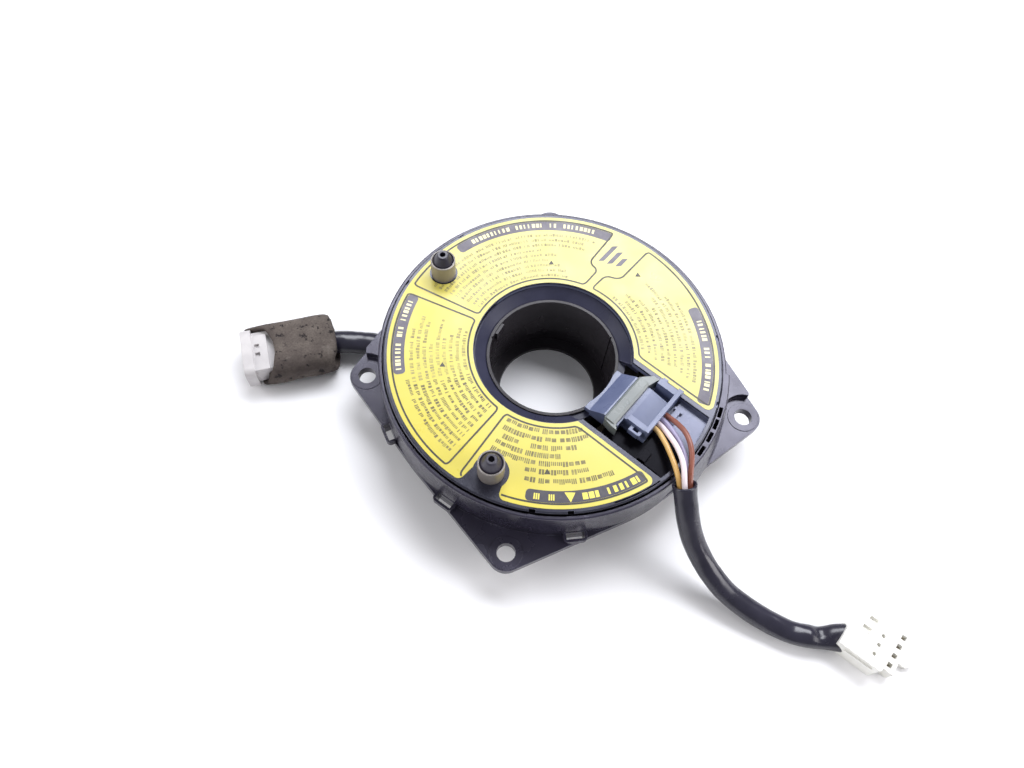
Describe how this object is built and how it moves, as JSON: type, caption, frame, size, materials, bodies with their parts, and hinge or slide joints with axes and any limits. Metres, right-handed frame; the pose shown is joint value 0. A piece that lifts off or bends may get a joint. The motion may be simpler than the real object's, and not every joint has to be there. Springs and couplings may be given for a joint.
{
  "type": "steering clock spring",
  "caption": "Round steering clock spring with a turning face, central bore, screw ears, two driving pins and two short cable leads with connectors.",
  "frame": {"origin": "on the bore axis at the rear end, where the collar and the liner end", "axes": "+Z along the bore axis towards the steering wheel; +X towards the right-hand ear side, +Y towards the back ear, with the lower lead leaving on -X"},
  "size_m": [0.2225, 0.1674, 0.0404],
  "materials": {
    "stator_plastic": "dark moulded plastic, satin",
    "rotor_plastic": "dark moulded plastic, satin",
    "face_sheet": "printed sheet, satin",
    "block_plastic": "moulded plastic, matt",
    "slide_sheet": "thin smooth film",
    "terminal_metal": "tinned brass",
    "flat_cable": "laminated film",
    "pin_collar": "satin",
    "pin_boot": "matt rubber",
    "connector_housing": "blue-grey moulded plastic",
    "connector_lock": "grey-green translucent moulded plastic",
    "wire_brown": "wire insulation, satin",
    "wire_violet": "wire insulation, satin",
    "wire_white": "wire insulation, satin",
    "wire_orange": "wire insulation, satin",
    "sleeve": "soft sleeve, satin",
    "cream_plastic": "cream moulded plastic",
    "white_plastic": "white moulded plastic",
    "foam_wrap": "dark open foam sheet"
  },
  "bodies": {
    "stator": {"stator_housing": "stator_plastic", "rear_cover": "stator_plastic", "terminal_lid": "stator_plastic", "lower_terminal_1": "terminal_metal", "lower_terminal_2": "terminal_metal", "lower_terminal_3": "terminal_metal", "lower_terminal_4": "terminal_metal", "outer_cable_block": "block_plastic", "lower_slide_sheet": "slide_sheet", "lower_sleeve": "sleeve", "lower_connector": "white_plastic", "foam_wrap": "foam_wrap"},
    "rotor": {"rotor_disc": "rotor_plastic", "face_sheet": "face_sheet", "rotor_hub": "rotor_plastic", "bore_liner": "rotor_plastic", "upper_slide_sheet": "slide_sheet", "inner_cable_block": "block_plastic", "flat_cable": "flat_cable", "pin_collar_front": "pin_collar", "pin_collar_back": "pin_collar", "pin_boot_front": "pin_boot", "pin_boot_back": "pin_boot", "connector_housing": "connector_housing", "connector_lock": "connector_lock", "wire_brown": "wire_brown", "wire_violet": "wire_violet", "wire_white": "wire_white", "wire_orange": "wire_orange", "upper_sleeve": "sleeve", "plug_housing": "cream_plastic", "plug_retainer": "cream_plastic", "plug_terminal_1": "terminal_metal", "plug_terminal_2": "terminal_metal", "plug_terminal_3": "terminal_metal", "plug_terminal_4": "terminal_metal"}
  },
  "joints": [
    {"name": "rotor_spin", "type": "hinge", "parent": "stator", "child": "rotor", "pos_m": [0, 0, 0.02], "axis": [0, 0, 1], "range_deg": [-900, 900], "deforming": ["flat_cable", "wire_brown", "wire_violet", "wire_white", "wire_orange", "upper_sleeve"]}
  ]
}
